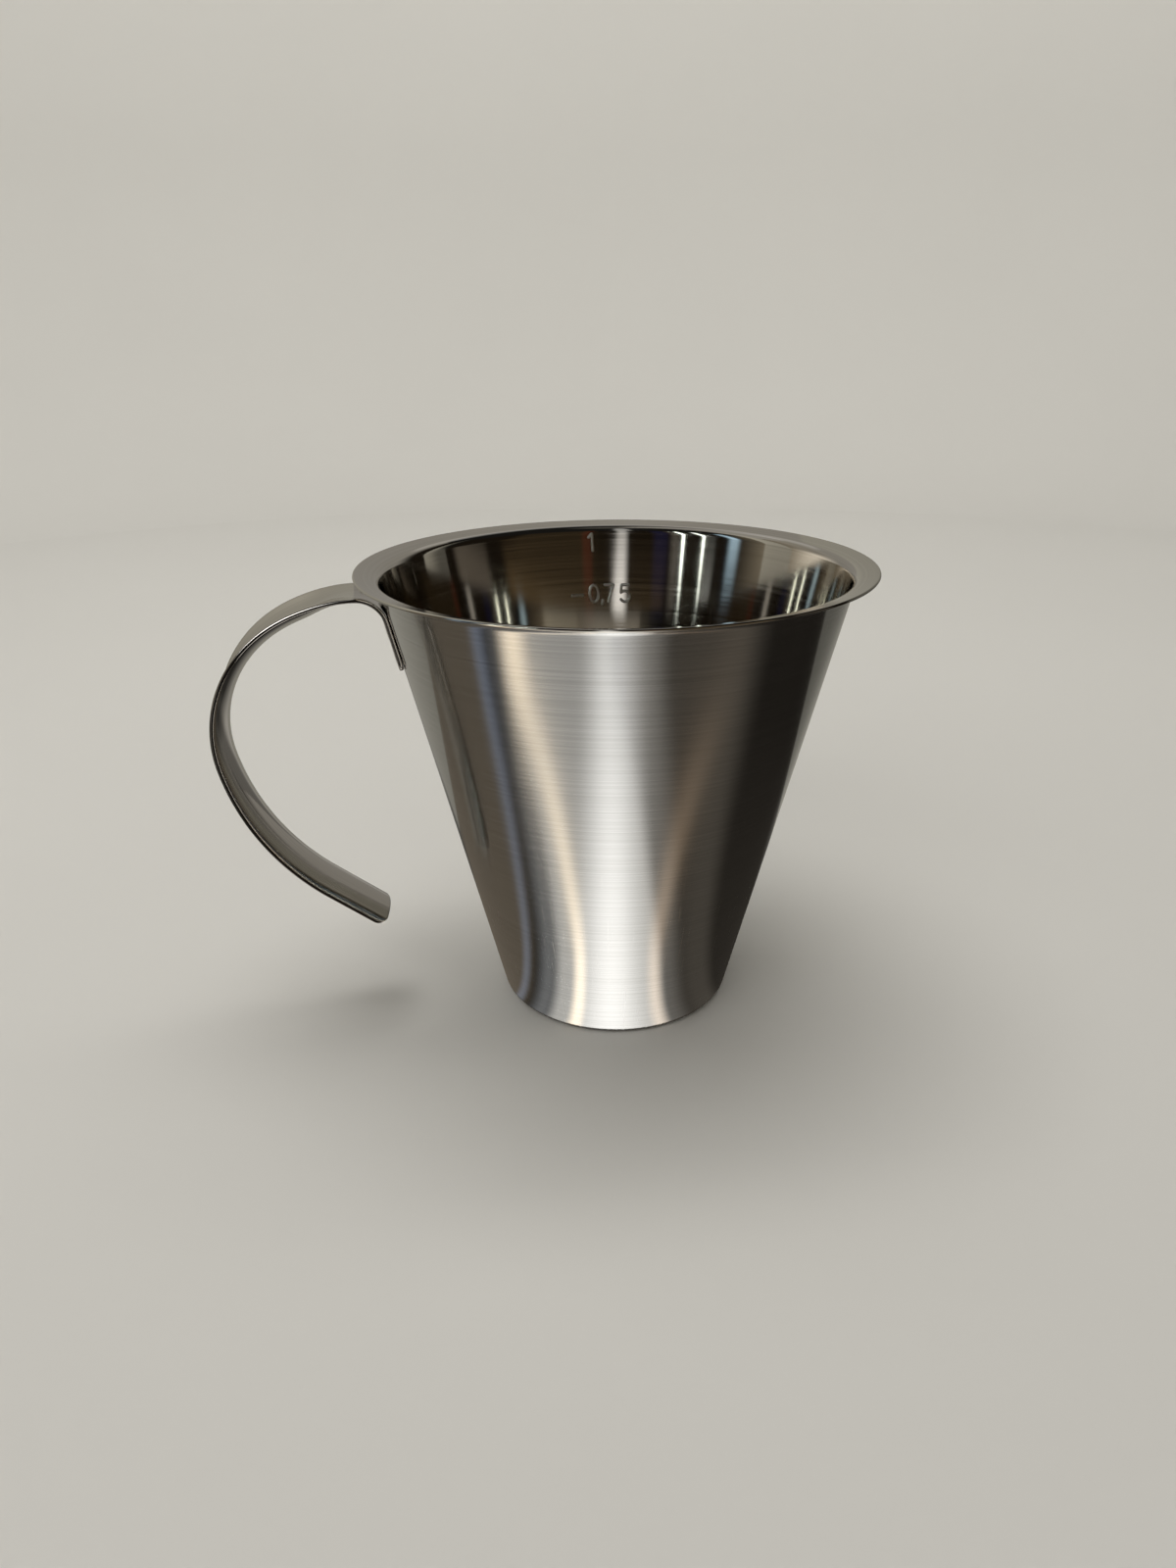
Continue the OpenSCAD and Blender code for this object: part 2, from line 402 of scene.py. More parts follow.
@dataclass
class Shell:
    """The jug's body: base, conical wall and turned-out rim, drawn from one sheet."""

    height: float = 131 * MM
    base_d: float = 68.8 * MM
    mouth_d: float = 131 * MM
    sheet: float = 0.8 * MM
    corner_r: float = 3.6 * MM
    foot_w: float = 5 * MM
    base_lift: float = 1 * MM
    step_r: float = 2 * MM
    rim_w: float = 5.5 * MM
    rim_tilt: float = math.radians(13)
    rim_bend_r: float = 2.2 * MM
    sides: int = 288
    wall_rows: int = 36
    base_rows: int = 8
    rim_rows: int = 6
    foot_rows: int = 4
    edge_step: float = math.radians(12)
    wall_angle: float = field(init=False)

    def __post_init__(self) -> None:
        """Works out the slope of the wall."""
        self.wall_angle = math.atan((self.mouth_d - self.base_d) / 2 / self.height)

    def outer_r(self, z: float) -> float:
        """Outer radius of the wall at a height."""
        return self.base_d / 2 + z * math.tan(self.wall_angle)

    def inner_r(self, z: float) -> float:
        """Inner radius of the wall at a height."""
        return self.outer_r(z) - self.sheet / math.cos(self.wall_angle)

    def profile(self) -> list[tuple[Zone, list[Vector]]]:
        """Half section of the shell, from the axis under the base round to the axis inside.

        Returns:
            Runs of points as (radius, height), each with its zone.
        """
        wall, tilt, right = self.wall_angle, self.rim_tilt, math.pi / 2
        half = self.sheet / 2
        inset = self.corner_r * (math.tan(wall) - 1 / math.cos(wall))
        corner = Vector((self.base_d / 2 + inset, self.corner_r))
        lip = Vector((self.mouth_d / 2 + self.rim_w - half, self.height - half))
        turn = math.acos(1 - self.base_lift / (2 * self.step_r))
        foot = Vector((corner.x - self.foot_w, half + self.step_r))
        lift = foot + 2 * self.step_r * unit(-right - turn)
        wall_n, rim_n = unit(-wall), unit(right + tilt)
        wall_off = self.base_d / 2 * math.cos(wall) + self.rim_bend_r
        rim_off = lip.dot(rim_n) - half - self.rim_bend_r
        rim = Vector((wall_off * rim_n.y - rim_off * wall_n.y, rim_off * wall_n.x - wall_off * rim_n.x))
        rim /= wall_n.x * rim_n.y - wall_n.y * rim_n.x
        under = arc(lift, self.step_r - half, right, right - turn)
        stand = arc(foot, self.step_r + half, -right - turn, -right)
        heel = arc(corner, self.corner_r, -right, -wall)
        hollow = arc(rim, self.rim_bend_r, math.pi - wall, right + tilt)
        edge = arc(lip, half, tilt - right, tilt + right, self.edge_step)
        crest = arc(rim, self.rim_bend_r + self.sheet, right + tilt, math.pi - wall)
        inner_heel = arc(corner, self.corner_r - self.sheet, -wall, -right)
        inner_stand = arc(foot, self.step_r - half, -right, -right - turn)
        inner_lift = arc(lift, self.step_r + half, right - turn, right)
        middle, floor = Vector((0, self.base_lift)), Vector((0, self.base_lift + self.sheet))
        return [
            (Zone.OUTSIDE, [middle, *between(middle, under[0], self.base_rows), *under, *stand[1:],
                            *between(stand[-1], heel[0], self.foot_rows), *heel,
                            *between(heel[-1], hollow[0], self.wall_rows), *hollow]),
            (Zone.RIM, [*between(hollow[-1], edge[0], self.rim_rows), *edge,
                        *between(edge[-1], crest[0], self.rim_rows), *crest]),
            (Zone.INSIDE, [*between(crest[-1], inner_heel[0], self.wall_rows), *inner_heel,
                           *between(inner_heel[-1], inner_stand[0], self.foot_rows), *inner_stand,
                           *inner_lift[1:], *between(inner_lift[-1], floor, self.base_rows), floor]),
        ]

    def build(self) -> Object:
        """Turns the section about the axis, with the UV map in turns and in metres along the section.

        Returns:
            The shell.
        """
        runs = self.profile()
        points = [p for _, run in runs for p in run]
        zones = [zone for zone, run in runs for _ in run]
        lengths = [0.0]
        for a, b in zip(points, points[1:]):
            lengths.append(lengths[-1] + (b - a).length)
        mesh = bmesh.new()
        uv = mesh.loops.layers.uv.new(UV_NAME)
        rings = []
        for p in points:
            if p.x < TINY:
                rings.append([mesh.verts.new((0, 0, p.y))] * self.sides)
                continue
            turns = [2 * math.pi * i / self.sides for i in range(self.sides)]
            rings.append([mesh.verts.new((p.x * math.cos(a), p.x * math.sin(a), p.y)) for a in turns])
        for j in range(len(points) - 1):
            for i in range(self.sides):
                k = (i + 1) % self.sides
                spots = [(rings[j][i], i, j), (rings[j][k], i + 1, j), (rings[j + 1][k], i + 1, j + 1),
                         (rings[j + 1][i], i, j + 1)]
                corners = [s for n, s in enumerate(spots) if s[0] is not spots[n - 1][0]]
                face = mesh.faces.new([s[0] for s in corners])
                face.material_index = zones[j + 1].value
                face.smooth = True
                for loop, (_, turn, row) in zip(face.loops, corners):
                    loop[uv].uv = (turn / self.sides, lengths[row])
        data = bpy.data.meshes.new("shell")
        mesh.to_mesh(data)
        mesh.free()
        return place("shell", data)

    def dress(self, piece: Object) -> None:
        """Gives each zone its finish and sets the shell in the frame.

        Args:
            piece: The shell.
        """
        for finish in (OUTSIDE, RIM, INSIDE):
            piece.data.materials.append(finish.material())
        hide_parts("jug_body")
        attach(piece, "root")


@dataclass
class StripHandle:
    """The open handle: one strip, bent off the wall, curved for the palm and crowned across its width.

    The curves are pairs of radius and turn, from the wall to the tip. The strip's ends are rounded over,
    down to a share of its thickness.
    """

    shell: Shell
    width: float = 20.2 * MM
    thickness: float = 1.2 * MM
    tab_len: float = 14 * MM
    tab_corner_r: float = 3 * MM
    bend_drop: float = 11.3 * MM
    bend_r: float = 7.7 * MM
    rise: float = math.radians(1)
    curves: tuple[Pair, ...] = (
        (43.25 * MM, math.radians(31)), (36.6 * MM, math.radians(71.7)), (69.8 * MM, math.radians(40.1)))
    tip_len: float = 18.6 * MM
    tip_corner_r: float = 3.5 * MM
    crown: float = 3.2 * MM
    crown_run: float = 16 * MM
    weld_gap: float = 0.1 * MM
    end_flat: float = 0.12
    face_rows: int = 28
    edge_rows: int = 8
    tab_rows: int = 18
    tip_rows: int = 22
    curve_rows: int = 160
    row_pitch: float = 0.9 * MM

    @property
    def bend_z(self) -> float:
        """Height at which the strip leaves the wall."""
        return self.shell.height - self.bend_drop

    @property
    def tab_crown(self) -> float:
        """Crown of the tab, which follows the wall."""
        wall_r = self.shell.outer_r(self.bend_z) / math.cos(self.shell.wall_angle)
        r = wall_r + self.weld_gap + self.thickness / 2
        return r - math.sqrt(r * r - self.width ** 2 / 4)

    @property
    def bend(self) -> Pair:
        """Radius, in the middle of the sheet, and turn of the bend off the wall."""
        return self.bend_r + self.thickness / 2, math.pi / 2 - self.shell.wall_angle - self.rise

    def path(self) -> list[Vector]:
        """Line that the strip's edges follow from the tab's lower end to the tip, in the handle's plane.

        Returns:
            Points as (distance from the axis, height).
        """
        slope = self.shell.wall_angle
        heading = math.pi / 2 - slope
        gap = (self.weld_gap + self.thickness / 2 - self.tab_crown) / math.cos(slope)
        spot = Vector((self.shell.outer_r(self.bend_z) + gap, self.bend_z))
        points = [spot - self.tab_len * unit(heading), spot]
        for radius, turn in (self.bend, *self.curves):
            middle = points[-1] - radius * left(heading)
            points += [middle + radius * left(heading - turn * i / self.curve_rows)
                       for i in range(1, self.curve_rows + 1)]
            heading -= turn
        return [*points, points[-1] + self.tip_len * unit(heading)]

    def blank(self, length: float) -> Mesh:
        """Makes the flat blank: a strip with rounded corners and edges, as it is before forming.

        Args:
            length: Whole length of the strip.

        Returns:
            The blank, with X along the strip, Y across it and Z through it.
        """
        inner = length - self.tab_corner_r - self.tip_corner_r
        count = math.ceil(inner / self.row_pitch)
        stops = [self.tab_corner_r * (1 - math.cos(math.pi / 2 * i / self.tab_rows))
                 for i in range(self.tab_rows + 1)]
        stops += [self.tab_corner_r + inner * i / count for i in range(1, count)]
        stops += [length - self.tip_corner_r * (1 - math.cos(math.pi / 2 * i / self.tip_rows))
                  for i in range(self.tip_rows, -1, -1)]
        mesh = bmesh.new()
        uv = mesh.loops.layers.uv.new(UV_NAME)
        rings = [[mesh.verts.new(p) for p in self.ring(s, length)] for s in stops]
        count = len(rings[0])
        for low, high in zip(rings, rings[1:]):
            for j in range(count):
                k = (j + 1) % count
                mesh.faces.new((low[j], low[k], high[k], high[j]))
        upper, back = self.face_rows + 1, self.face_rows + self.edge_rows
        for ring in (rings[0], rings[-1]):
            lower = ring[back:back + upper][::-1]
            for j in range(upper - 1):
                mesh.faces.new((ring[j], ring[j + 1], lower[j + 1], lower[j]))
            for side in ([*ring[upper - 1:back], ring[back]], [*ring[back + upper - 1:], ring[0]]):
                mesh.faces.new(side)
        bmesh.ops.recalc_face_normals(mesh, faces=mesh.faces)
        for face in mesh.faces:
            for loop in face.loops:
                loop[uv].uv = (loop.vert.co.y, loop.vert.co.x)
        data = bpy.data.meshes.new("handle_blank")
        mesh.to_mesh(data)
        mesh.free()
        return data

    def ring(self, s: float, length: float) -> list[Vector]:
        """Section of the blank at a length from the tab's end.

        Args:
            s: Length from the tab's end.
            length: Whole length of the strip.

        Returns:
            Points round the section: one face, an edge, the other face and the other edge.
        """
        reach, corner = (s, self.tab_corner_r) if s < length / 2 else (length - s, self.tip_corner_r)
        inset = max(0.0, corner - reach)
        half_w = self.width / 2 - corner + math.sqrt(max(0.0, corner ** 2 - inset ** 2))
        round_off = 1 - min(2 * reach / self.thickness, 1)
        half_t = self.thickness / 2 * max(self.end_flat, math.sqrt(1 - round_off ** 2))
        flat = half_w - half_t
        face = [flat * (2 * i / self.face_rows - 1) for i in range(self.face_rows + 1)]
        edge = [math.pi * i / self.edge_rows for i in range(1, self.edge_rows)]
        points = [(y, half_t) for y in face]
        points += [(flat + half_t * math.sin(a), half_t * math.cos(a)) for a in edge]
        points += [(y, -half_t) for y in reversed(face)]
        points += [(-flat - half_t * math.sin(a), -half_t * math.cos(a)) for a in edge]
        return [Vector((s, y, z)) for y, z in points]

    def forming(self) -> NodeTree:
        """Builds the tree that crowns the blank across its width and bends it along the path.

        Returns:
            The tree.
        """
        sizes = ("Width", "Tab crown", "Crown", "Crown start", "Crown run")
        tree, add, known = new_tree("form crowned strip", sizes, "Path")
        known |= zip(("along", "across", "out"), add(SPLIT, {0: add("GeometryNodeInputPosition")}).outputs)
        path = add("GeometryNodeObjectInfo", {"Object": known["Path"]}).outputs["Geometry"]
        line = add("GeometryNodeMeshToCurve", {0: path})
        spot = add("GeometryNodeSampleCurve", {"Curves": line, "Length": known["along"]}, mode="LENGTH",
                   use_all_curves=True).outputs
        crown_end = add(MATH, {0: known["Crown start"], 1: known["Crown run"]})
        known["crown here"] = add(RANGE, {
            "Value": known["along"], 1: known["Crown start"], 2: crown_end, 3: known["Tab crown"],
            4: known["Crown"]}, interpolation_type="SMOOTHSTEP")
        for name, operation, *terms in (
                ("square", "MULTIPLY", "Width", "Width"),
                ("eighth", "DIVIDE", "square", 8.0),
                ("chord", "DIVIDE", "eighth", "crown here"),
                ("radius", "MULTIPLY_ADD", "crown here", 0.5, "chord"),
                ("share", "DIVIDE", "across", "radius"),
                ("turn", "ARCSINE", "share"),
                ("reach", "ADD", "radius", "out"),
                ("cosine", "COSINE", "turn"),
                ("sideways", "MULTIPLY", "reach", "share"),
                ("fall", "MULTIPLY", "reach", "cosine"),
                ("base", "SUBTRACT", "radius", "crown here"),
                ("inwards", "SUBTRACT", "base", "fall")):
            wires = {i: known.get(term, term) for i, term in enumerate(terms)}
            known[name] = add(MATH, wires, operation=operation)
        side = add(VECTOR, {0: (0, 1, 0), 1: spot["Tangent"]}, operation="CROSS_PRODUCT")
        lift = add(VECTOR, {0: side, 3: known["inwards"]}, operation="SCALE")
        offset = add(VECTOR, {0: lift, 1: add(JOIN, {1: known["sideways"]})})
        position = add(VECTOR, {0: spot["Position"], 1: offset})
        bent = add("GeometryNodeSetPosition", {"Geometry": known["Geometry"], "Position": position})
        close_tree(add, bent, known["Finish"])
        return tree

    def build(self) -> Object:
        """Forms the strip from its blank.

        Returns:
            The handle.
        """
        points = [Vector((-p.x, 0, p.y)) for p in self.path()]
        length = sum((b - a).length for a, b in zip(points, points[1:]))
        line = bpy.data.meshes.new("handle_path")
        line.from_pydata(points, [(i, i + 1) for i in range(len(points) - 1)], [])
        guide = place("handle_path", line)
        piece = form("handle_strip", self.blank(length), self.forming(), {
            "Path": guide, "Width": self.width, "Tab crown": self.tab_crown, "Crown": self.crown,
            "Crown start": self.tab_len + math.prod(self.bend), "Crown run": self.crown_run,
            "Finish": STRIP.material()})
        bpy.data.objects.remove(guide)
        bpy.data.meshes.remove(line)
        return piece

    def dress(self, piece: Object) -> None:
        """Sets the handle in the frame; its finish came with the forming.

        Args:
            piece: The handle.
        """
        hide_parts("handle")
        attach(piece, "root")


@dataclass
class WeldMarks:
    """Electrode marks of the four spot welds, on the tab and on the inside of the wall."""

    shell: Shell
    handle: StripHandle
    across: float = 10 * MM
    along: float = 7 * MM
    mark_d: float = 4.2 * MM
    ring_t: float = 0.5 * MM
    proud: float = 0.03 * MM
    mark_sides: int = 48
    ring_sides: int = 12

    def spots(self) -> tuple[list[Vector], list[Vector]]:
        """Finds where the electrodes pressed.

        Returns:
            Middles of the marks, and the direction that each faces.
        """
        slope, handle = self.shell.wall_angle, self.handle
        places, facings = [], []
        for row in (-1, 1):
            z = handle.bend_z - (handle.tab_len - row * self.along) / 2 * math.cos(slope)
            for side in (-1, 1):
                turn = math.pi + side * math.asin(self.across / 2 / self.shell.outer_r(z))
                level = Vector((math.cos(turn), math.sin(turn), 0))
                normal = level * math.cos(slope) + Vector((0, 0, -math.sin(slope)))
                wall = level * self.shell.outer_r(z) + Vector((0, 0, z))
                places += [wall + normal * (handle.weld_gap + handle.thickness),
                           wall - normal * self.shell.sheet]
                facings += [normal, -normal]
        return places, facings

    def pressing(self) -> NodeTree:
        """Builds the tree that puts a shallow ring, with a low middle, at each spot.

        Returns:
            The tree.
        """
        tree, add, known = new_tree("press electrode marks", ("Mark radius", "Ring radius", "Height"))
        circle, section = (
            add("GeometryNodeCurvePrimitiveCircle", {"Resolution": sides, "Radius": known[size]})
            for sides, size in ((self.mark_sides, "Mark radius"), (self.ring_sides, "Ring radius")))
        ring = add("GeometryNodeCurveToMesh", {0: circle, 1: section})
        dome = add("GeometryNodeMeshUVSphere", {
            "Segments": self.mark_sides, "Rings": self.ring_sides, "Radius": known["Mark radius"]})
        parts = add("GeometryNodeJoinGeometry")
        for part, size in ((ring, "Ring radius"), (dome, "Mark radius")):
            flatness = add(MATH, {0: known["Height"], 1: known[size]}, operation="DIVIDE")
            scale = add(JOIN, {0: 1.0, 1: 1.0, 2: flatness})
            pressed = add("GeometryNodeTransform", {0: part, "Scale": scale})
            tree.links.new(pressed.outputs[0], parts.inputs[0])
        facing = add("GeometryNodeInputNamedAttribute", {"Name": "facing"}, data_type="FLOAT_VECTOR")
        turn = add("FunctionNodeAlignRotationToVector", {"Vector": facing}, axis="Z")
        marks = add("GeometryNodeInstanceOnPoints", {
            "Points": known["Geometry"], "Instance": parts, "Rotation": turn})
        close_tree(add, marks, known["Finish"])
        return tree

    def build(self) -> Object:
        """Presses all the marks as one piece.

        Returns:
            The marks.
        """
        places, facings = self.spots()
        points = bpy.data.meshes.new("weld_spots")
        points.from_pydata(places, [], [])
        facing = points.attributes.new("facing", "FLOAT_VECTOR", "POINT")
        facing.data.foreach_set("vector", [x for v in facings for x in v])
        return form("weld_marks", points, self.pressing(), {
            "Mark radius": self.mark_d / 2 - self.ring_t / 2, "Ring radius": self.ring_t / 2,
            "Height": self.proud, "Finish": WELD.material()})

    def dress(self, piece: Object) -> None:
        """Sets the marks in the frame; their finish came with the pressing.

        Args:
            piece: The marks.
        """
        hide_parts("spot_welds")
        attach(piece, "root")


@dataclass
class Scale:
    """The scale on the inside of the wall: plain figures at each quarter of a litre, with a short line.

    Each mark is a figure and its height. The whole litre, close under the rim, has no line.
    """

    shell: Shell
    figure_h: float = 5.4 * MM
    figure_w: float = 2.9 * MM
    drop: float = -2.3 * MM
    pitch: float = 5.15 * MM
    tick: float = 3.6 * MM
    first: float = 4.05 * MM
    bead_w: float = 0.95 * MM
    bead_pitch: float = 0.25 * MM
    bead_sides: int = 12
    ball_rings: int = 8
    proud: float = 0.3 * MM
    tick_azimuth: float = math.radians(91)
    whole: str = "1"
    marks: tuple[tuple[str, float], ...] = (
        ("0,25", 51.4 * MM), ("0,5", 83.7 * MM), ("0,75", 108.3 * MM), (whole, 124.6 * MM))

    def strokes(self) -> dict[str, list[list[Pair]]]:
        """Draws the figures.

        Returns:
            Lines of each figure, in shares of its width and height.
        """
        loop = [(0.5 + 0.5 * math.cos(a), 0.5 + 0.5 * math.sin(a))
                for a in (2 * math.pi * i / 28 for i in range(29))]
        bowl = [(0.46 + 0.54 * math.cos(a), 0.32 + 0.32 * math.sin(a))
                for a in (math.radians(140 - 285 * i / 20) for i in range(21))]
        hook = [(0.5 + 0.5 * math.cos(a), 0.72 + 0.28 * math.sin(a))
                for a in (math.radians(165 - 200 * i / 14) for i in range(15))]
        return {
            "0": [loop],
            "1": [[(0.2, 0.78), (0.6, 1.0), (0.6, 0.0)]],
            "2": [[*hook, (0.0, 0.0), (1.0, 0.0)]],
            "5": [[(0.95, 1.0), (0.14, 1.0), (0.05, 0.52), *bowl]],
            "7": [[(0.0, 1.0), (1.0, 1.0), (0.35, 0.0)]],
            ",": [[(-0.32, 0.1), (-0.4, -0.14)]],
        }

    def drawing(self) -> Mesh:
        """Draws the scale flat: X runs along the wall to the right of the short lines, Y is the height.

        Returns:
            The lines, as edges.
        """
        strokes = self.strokes()
        points: list[tuple[float, float, float]] = []
        lines: list[tuple[int, int]] = []
        for text, z in self.marks:
            runs = [] if text == self.whole else [[(-self.tick / 2, z), (self.tick / 2, z)]]
            x, foot = self.first, z + self.drop
            for sign in text:
                for run in strokes[sign]:
                    runs.append([(x + px * self.figure_w, foot + py * self.figure_h) for px, py in run])
                x += 0 if sign == "," else self.pitch
            for run in runs:
                first = len(points)
                points += [(px, py, 0.0) for px, py in run]
                lines += [(first + i, first + i + 1) for i in range(len(run) - 1)]
        data = bpy.data.meshes.new("scale_lines")
        data.from_pydata(points, lines, [])
        return data

    def pressing(self) -> NodeTree:
        """Builds the tree that turns the flat lines into low beads and wraps them on the inner wall.

        Returns:
            The tree.
        """
        sizes = ("Bead radius", "Bead pitch", "Flatness", "Wall radius", "Wall slope", "Azimuth")
        tree, add, known = new_tree("press figures", sizes)
        radius = known["Bead radius"]
        lines = add("GeometryNodeMeshToCurve", {0: known["Geometry"]})
        even = add("GeometryNodeResampleCurve", {"Curve": lines, "Length": known["Bead pitch"]},
                   mode="LENGTH")
        section = add("GeometryNodeCurvePrimitiveCircle", {"Resolution": self.bead_sides, "Radius": radius})
        bead = add("GeometryNodeCurveToMesh", {0: even, 1: section})
        ball = add("GeometryNodeMeshUVSphere", {
            "Segments": self.bead_sides, "Rings": self.ball_rings, "Radius": radius})
        ends = add("GeometryNodeCurveEndpointSelection", {"Start Size": 1, "End Size": 1})
        spots = add("GeometryNodeInstanceOnPoints", {"Points": even, "Selection": ends, "Instance": ball})
        parts = add("GeometryNodeJoinGeometry")
        for part in (bead, spots):
            tree.links.new(part.outputs[0], parts.inputs[0])
        whole = add("GeometryNodeRealizeInstances", {0: parts})
        known |= zip(("x", "z", "out"), add(SPLIT, {0: add("GeometryNodeInputPosition")}).outputs)
        for name, operation, *terms in (
                ("radius", "MULTIPLY_ADD", "z", "Wall slope", "Wall radius"),
                ("bow", "DIVIDE", "x", "radius"),
                ("turn", "SUBTRACT", "Azimuth", "bow"),
                ("rise", "MULTIPLY", "out", "Flatness"),
                ("reach", "SUBTRACT", "radius", "rise"),
                ("cosine", "COSINE", "turn"),
                ("sine", "SINE", "turn"),
                ("px", "MULTIPLY", "reach", "cosine"),
                ("py", "MULTIPLY", "reach", "sine")):
            wires = {i: known[term] for i, term in enumerate(terms)}
            known[name] = add(MATH, wires, operation=operation)
        position = add(JOIN, {0: known["px"], 1: known["py"], 2: known["z"]})
        wrapped = add("GeometryNodeSetPosition", {"Geometry": whole, "Position": position})
        close_tree(add, wrapped, known["Finish"])
        return tree

    def build(self) -> Object:
        """Presses the whole scale as one piece."""
        return form("scale_marks", self.drawing(), self.pressing(), {
            "Bead radius": self.bead_w / 2, "Bead pitch": self.bead_pitch,
            "Flatness": self.proud / (self.bead_w / 2), "Wall radius": self.shell.inner_r(0),
            "Wall slope": math.tan(self.shell.wall_angle), "Azimuth": self.tick_azimuth,
            "Finish": FIGURES.material()})

    def dress(self, piece: Object) -> None:
        """Sets the scale in the frame; its finish came with the pressing."""
        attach(piece, "root")


@dataclass(frozen=True)
class Patch:
    """A soft patch of light on a card round the jug.

    Azimuths and widths are in degrees, counted from the direction jug to camera, positive to the camera's
    right. A pair holds the values at the two ends of the span, which is a radius on a level card and a
    height on an upright one. Beyond the span the values stay as they are at its ends, and a single number
    holds everywhere. The flat middle is a share of the width.
    """

    azimuth: float | Pair
    width: float | Pair
    colour: str
    radiance: float | Pair
    flat: float = 0.0
    span: Pair | None = None


@dataclass(frozen=True)
class Card:
    """A round card of light that only reflections see.

    A level card lies at a height and its rows are radii. An upright one stands at a radius and its rows are
    heights. The span is for the patches that give none of their own. A clear card lets what lies behind it
    show too.
    """

    name: str
    level: bool
    at: float
    rows: tuple[float, ...]
    span: Pair
    patches: tuple[Patch, ...]
    clear: bool = False


@dataclass(frozen=True)
class Softbox:
    """A soft lamp that lights the stage, and that neither the camera nor the steel sees.

    It hangs at a spot and faces its aim. A lamp with a radiance of 1 would itself show as white.
    """

    name: str
    spot: tuple[float, float, float]
    aim: tuple[float, float, float]
    size: Pair
    colour: str
    radiance: float

    def hang(self) -> None:
        """Adds the lamp to the scene."""
        data = bpy.data.lights.new(self.name, "AREA")
        data.shape = "RECTANGLE"
        data.size, data.size_y = self.size
        data.energy = self.radiance * math.pi * self.size[0] * self.size[1]
        data.color = linear(self.colour)[:3]
        light = place(self.name, data)
        spot = Vector(self.spot)
        turn = (spot - Vector(self.aim)).to_track_quat("Z", "Y").to_matrix().to_4x4()
        light.matrix_world = Matrix.Translation(spot) @ turn
        light.visible_camera = light.visible_glossy = False


